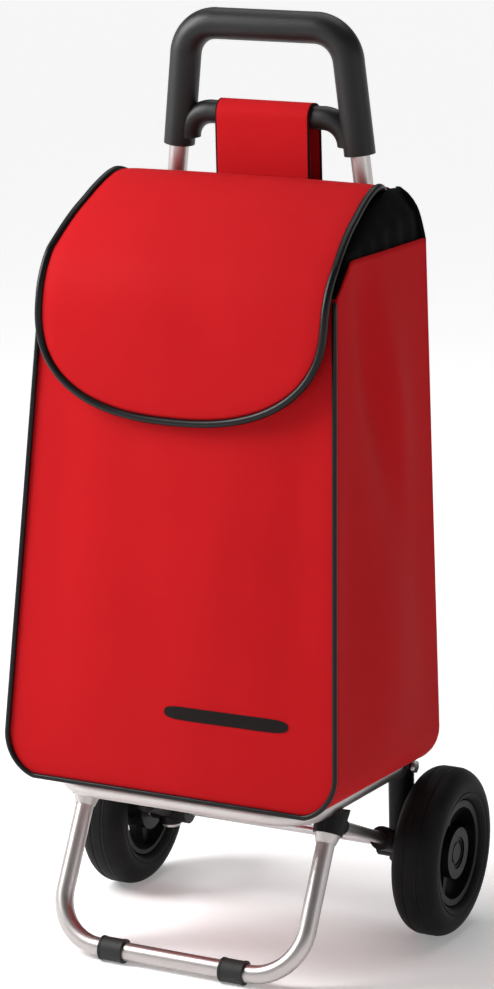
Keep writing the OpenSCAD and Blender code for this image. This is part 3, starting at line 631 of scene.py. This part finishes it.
# ---- collar ----
# A band of thin black lining cloth sewn inside the mouth and across the back panel's top. It rises
# from the side panels and tucks in under the flap, and shows as a dark wedge between them.
black_cloth = Finish("black_cloth", Roughness=0.7, Specular_IOR_Level=0.06)
lining_place = black_cloth.place("UV")
lining_pitch = 0.0008
lining_weave = (black_cloth.axis(lining_place, 0).wave(lining_pitch)
                * black_cloth.axis(lining_place, 1).wave(lining_pitch))
lining_cloud = black_cloth.noise(lining_place, 22.0, 3.0)
black_cloth.give(Base_Color=black_cloth.mix(lining_cloud,
                                            (0.0012, 0.0014, 0.0014), (0.004, 0.0045, 0.0045)),
                 Roughness=0.58 + lining_cloud * 0.2)
black_cloth.bump(lining_weave * 0.12 + lining_cloud * 0.8 + 0.1, 0.0012, 0.6)

side_count, front_count = 40, 24
collar_f = np.concatenate([
    np.linspace(1, 0, side_count), np.zeros(front_count), np.linspace(0, 1, side_count)])[None, :]
collar_side = np.concatenate([
    -np.ones(side_count), np.linspace(-1, 1, front_count + 2)[1:-1], np.ones(side_count)])[None, :]
collar_v = np.linspace(0, 1, 15)[:, None]
collar_step = np.array([0.0, 0.36, 0.62, 1.0])
collar_rise = np.interp(collar_f, [0, 0.10, 0.25, 0.50, 0.70, 0.85, 1],
                        [0.008, 0.003, 0.011, 0.028, 0.041, 0.0485, 0.0465])
collar_inset = (np.interp(collar_v, collar_step, [0.0040, 0.0040, 0.0070, 0.0300])
                - 0.0045 * np.clip((collar_f - 0.70) / 0.12, 0, 1)
                * np.clip((collar_v - 0.62) / 0.38, 0, 1))
collar_up = (np.interp(collar_v, collar_step, [-0.012, 0.001, 0.0, 0.0])
             + np.interp(collar_v, collar_step, [0.0, 0.0, 0.5, 1.0]) * collar_rise)
collar_deep = np.interp(collar_v, collar_step, [0.0006, 0.0006, 0.005, 0.022])
collar_z = mouth_z(collar_f) + collar_up
collar_x = collar_side * (front_top_x + (back_top_x - front_top_x) * collar_f - collar_inset)
collar_y = ((front_y(collar_z) + 0.003) * (1 - collar_f) + (back_y(collar_z) - 0.003) * collar_f
            + np.where(collar_f > 0.0, (1 - collar_f) * collar_deep / 3, collar_deep))
collar_ripple = 0.0012 * np.sin(38 * collar_f + 2.0) * np.sin(np.pi * collar_v)
collar_band = grid_mesh(
    "collar_band", np.stack(np.broadcast_arrays(
        collar_x - collar_side * collar_ripple, collar_y, collar_z), axis=-1),
    uv=np.stack(np.broadcast_arrays(collar_y, collar_z), axis=-1), body="frame")
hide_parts("collar")
black_cloth.paint(collar_band)
thicken(collar_band, 0.0012)

# The back panel's top, which this lining covers, is the second of its materials.
bag_back.data.materials.append(black_cloth.material)
in_band = (back_row_z[:-1, 0] > side_rim - 0.004).astype(np.int32)
bag_back.data.polygons.foreach_set("material_index", in_band.repeat(back_columns - 1))
thicken(bag_back, cloth_wall)


# ---- base board ----
# A flat grey fibre board in the bag's bottom, which keeps the cloth from sagging between the
# shelf's two runs.
fibre = Finish("fibre_board", Roughness=0.85)
fibre_place = fibre.place()
fibre_fleck = fibre.noise(fibre.stretch(fibre_place, (300.0, 120.0, 300.0)), 1.0, 5.0)
fibre.give(Base_Color=fibre.mix(fibre_fleck, (0.10, 0.09, 0.08), (0.24, 0.22, 0.19)))
fibre.bump(fibre_fleck, 0.0005, 0.5)
fibre.paint(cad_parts["base_board"])


# ---- flap ----
# Two layers of the red cloth over thin foam, sewn to the back panel's top edge. It arches over the
# mouth, falls down the front and ends in a broad round tongue that hangs a little to one side.
# Its side profile in millimetres: the distance behind the axle's middle, and the height.
flap_line = np.array([
    [-88.2, 742.5], [-88.8, 747.5], [-92.5, 752.5], [-108, 756.5], [-126, 758], [-140, 756],
    [-156, 750], [-172, 742], [-188, 732.5], [-204, 723], [-219, 712], [-233, 700],
    [-246, 687.5], [-256, 672], [-262, 656], [-264.5, 640], [-265.5, 615], [-266, 580],
    [-266, 535]]) / 1000
axle_r = 0.005
flap_line[:, 0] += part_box("axle")[0][1] + axle_r
tongue_x, hinge_x = 0.144, 0.135
tongue_z, tongue_low, neck_z, crown_z = 0.640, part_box("flap")[0][2], 0.690, 0.758


def smooth_line(line, count):
    """A line of points resampled evenly: a cubic through them all, by their distance run."""
    run = np.concatenate([[0.0], np.cumsum(np.linalg.norm(np.diff(line, axis=0), axis=1))])
    slope = np.gradient(line, run, axis=0)
    at = np.linspace(0, run[-1], count)
    i = np.clip(np.searchsorted(run, at) - 1, 0, len(run) - 2)
    h = (run[i + 1] - run[i])[:, None]
    t = (at[:, None] - run[i][:, None]) / h
    return ((2 * t ** 3 - 3 * t ** 2 + 1) * line[i] + (t ** 3 - 2 * t ** 2 + t) * h * slope[i]
            + (3 * t ** 2 - 2 * t ** 3) * line[i + 1] + (t ** 3 - t ** 2) * h * slope[i + 1]), at


flap_curve, flap_run = smooth_line(flap_line, 400)


def flap_width(z):
    """Half the flap's width above its tongue: it narrows from the neck up to the crown."""
    return tongue_x + (hinge_x - tongue_x) * np.clip((z - neck_z) / (crown_z - neck_z), 0, 1)


def flap_skew(z):
    """How far the tongue's end hangs to the left at height z: nothing above, most at its tip."""
    return -0.0055 * np.clip((tongue_z - z) / (tongue_z - tongue_low), 0, 1) ** 1.5


def flap_point(s_x, run, lift):
    """A point on the flap: at a distance run down its side profile, x = s_x times the half width
    there, moved out along the profile's normal by lift."""
    y = np.interp(run, flap_run, flap_curve[:, 0])
    z = np.interp(run, flap_run, flap_curve[:, 1])
    tangent = np.gradient(flap_curve, flap_run, axis=0)
    ty = np.interp(run, flap_run, tangent[:, 0])
    tz = np.interp(run, flap_run, tangent[:, 1])
    size = np.sqrt(ty ** 2 + tz ** 2)
    x = s_x * flap_width(z) + flap_skew(z)
    return np.stack(np.broadcast_arrays(x, y + tz / size * lift, z - ty / size * lift), axis=-1)


def run_at(z):
    """Distance run down the profile to height z on its front half, which only falls."""
    front_half = len(flap_run) // 2
    return np.interp(-z, -flap_curve[front_half:, 1], flap_run[front_half:])


def tongue_edge(turn):
    """The tongue's edge at an angle, 0 on the left to pi on the right, as the share s of the half
    width and the distance run: a half oval, squared a little by raising both to a power."""
    power = 1 / 1.2
    s = -np.sign(np.cos(turn)) * np.abs(np.cos(turn)) ** power
    return s, tongue_run + (end_run - tongue_run) * np.sin(turn) ** power


tongue_run, end_run = run_at(tongue_z), run_at(tongue_low)
flap_s, flap_end = tongue_edge(np.linspace(0, np.pi, 121)[None, :])
flap_t = np.linspace(1, 0, 130)[:, None]
flap_at = flap_t * flap_end
flap_edge = np.clip((1 - np.abs(flap_s)) / 0.10, 0, 1) * np.clip((1 - flap_t) / 0.05, 0, 1)
flap_belly = (0.0035 * (1 - flap_s ** 2) * np.sin(np.pi * flap_t)
              - 0.0012 * bump_at(flap_s, 0.15, 0.25) * bump_at(flap_t, 0.72, 0.14)
              + 0.0010 * bump_at(flap_s, -0.25, 0.3) * bump_at(flap_t, 0.62, 0.12))
flap_roll = -0.0012 * (1 - np.sqrt(np.clip(flap_edge, 0, 1)))
flap_cover = grid_mesh(
    "flap_cover", flap_point(flap_s, flap_at, flap_belly + flap_roll),
    uv=np.stack(np.broadcast_arrays(flap_s * tongue_x, -flap_at), axis=-1))
thicken(flap_cover, 0.0030)
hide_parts("flap")
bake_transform(flap_cover)
red_cloth.paint(flap_cover)


# ---- flap piping ----
# A thicker cord in the same black coated cloth, sewn round the flap's free edge from one end of
# the hinge seam to the other.
cord_r, cord_lift, cord_count = 0.0036, -0.0012, 150
cord_start = flap_run[18]
cord_side_run = np.interp(np.linspace(0, 1, cord_count), [0, 1], [cord_start, tongue_run])
tongue_s, tongue_side_run = tongue_edge(np.linspace(0, np.pi, 160)[1:-1])
cord_x = np.concatenate([-np.ones(cord_count), tongue_s, np.ones(cord_count)])
cord_run = np.concatenate([cord_side_run, tongue_side_run, cord_side_run[::-1]])
cord_wide = flap_width(flap_point(cord_x, cord_run, cord_lift)[:, 2])
cord_flat = np.stack([cord_x * cord_wide, cord_run], axis=1)
cord_tangent = along(cord_flat)[0]
cord_out = np.stack([-cord_tangent[:, 1], cord_tangent[:, 0]], axis=1)
cord_out *= np.where(
    (cord_out[:, :1] * cord_flat[:, :1] + cord_out[:, 1:] * 0.001) < 0, -1, 1)
cord_sink = np.clip(1 - (cord_run - cord_run[0]) / 0.036, 0, 1) ** 1.5
cord_gap = (cord_r + 0.0002) * (1 - 1.9 * cord_sink)
cord_path = flap_point((cord_flat[:, 0] + cord_out[:, 0] * cord_gap) / cord_wide,
                       cord_run + cord_out[:, 1] * cord_gap, cord_lift - 0.0065 * cord_sink)
flap_cord = piped("flap_piping_cord", cord_path, np.array([[0.0, -0.72, 0.69]]), cord_r, "lid",
                  sides=18)
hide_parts("flap_piping")
piping_black.paint(flap_cord)


# ---- hanging strap ----
# A wide band of the red cloth, doubled. Its edges are painted dark red: painted shade, for the
# shaded back ply beside them. It goes over the handle's crossbar and both its ends are sewn to the
# back panel.
webbing = Finish("strap_cloth", **cloth_shine)
strap_place = webbing.place("UV")
strap_u = webbing.axis(strap_place, 0)
strap_v = webbing.axis(strap_place, 1)
strap_weave = strap_u.wave(weave_pitch) * strap_v.wave(weave_pitch) * 0.5 + 0.5
strap_cloud = webbing.noise(strap_place, 16.0, 3.0)
# A thin strip along each edge of the band is painted dark red: painted shade for the shaded back
# ply.
strap_edge_shade = webbing.node("Math", {"operation": "ABSOLUTE"}, {0: strap_u}).step(0.0478, 0.0484)
webbing.give(
    Base_Color=webbing.mix(strap_edge_shade, webbing.mix(strap_cloud, cloth_deep, cloth_bright),
                           (0.030, 0.004, 0.005)),
    Roughness=0.56 + strap_weave * 0.06 + strap_cloud * 0.08)
webbing.bump(strap_weave * 0.10 + strap_cloud * 0.9, 0.0010, 0.5)

axle_y, axle_z = 0.09355, 0.085
crossbar_up, crossbar_r = 0.734, 0.013
lean_sin, lean_cos = np.sin(frame_lean), np.cos(frame_lean)
crossbar = np.array([axle_y - crossbar_up * lean_sin, axle_z + crossbar_up * lean_cos])
# The strap's side profile in the frame's own plane, from the crossbar's middle: how far behind it
# and how far up, from the front end, over the bar, to the back end.
strap_flat = np.concatenate([
    [[-0.013, -0.080], [-0.0133, -0.055], [-0.0132, -0.028], [-0.013, -0.010]],
    corner_arc((0.0, 0.0), crossbar_r, 180, 0, 25),
    [[0.0131, -0.012], [0.0134, -0.050], [0.0130, -0.085], [0.0100, -0.105], [0.0, -0.130],
     [-0.0095, -0.150], [-0.0129, -0.162], [-0.0129, -0.180]]])
strap_yz = crossbar + strap_flat @ np.array([[lean_cos, lean_sin], [-lean_sin, lean_cos]])
strap_curve, strap_run = smooth_line(strap_yz, 150)
strap_x = np.linspace(-1, 1, 33)[None, :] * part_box("strap")[1][0]
strap_points = np.stack(np.broadcast_arrays(
    strap_x, strap_curve[:, :1], strap_curve[:, 1:]), axis=-1)
strap_band = grid_mesh("strap_band", strap_points, body="frame", uv=np.stack(
    np.broadcast_arrays(strap_x, strap_run[:, None]), axis=-1))
thicken(strap_band, 0.0018, offset=0.0)
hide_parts("strap")
webbing.paint(strap_band)
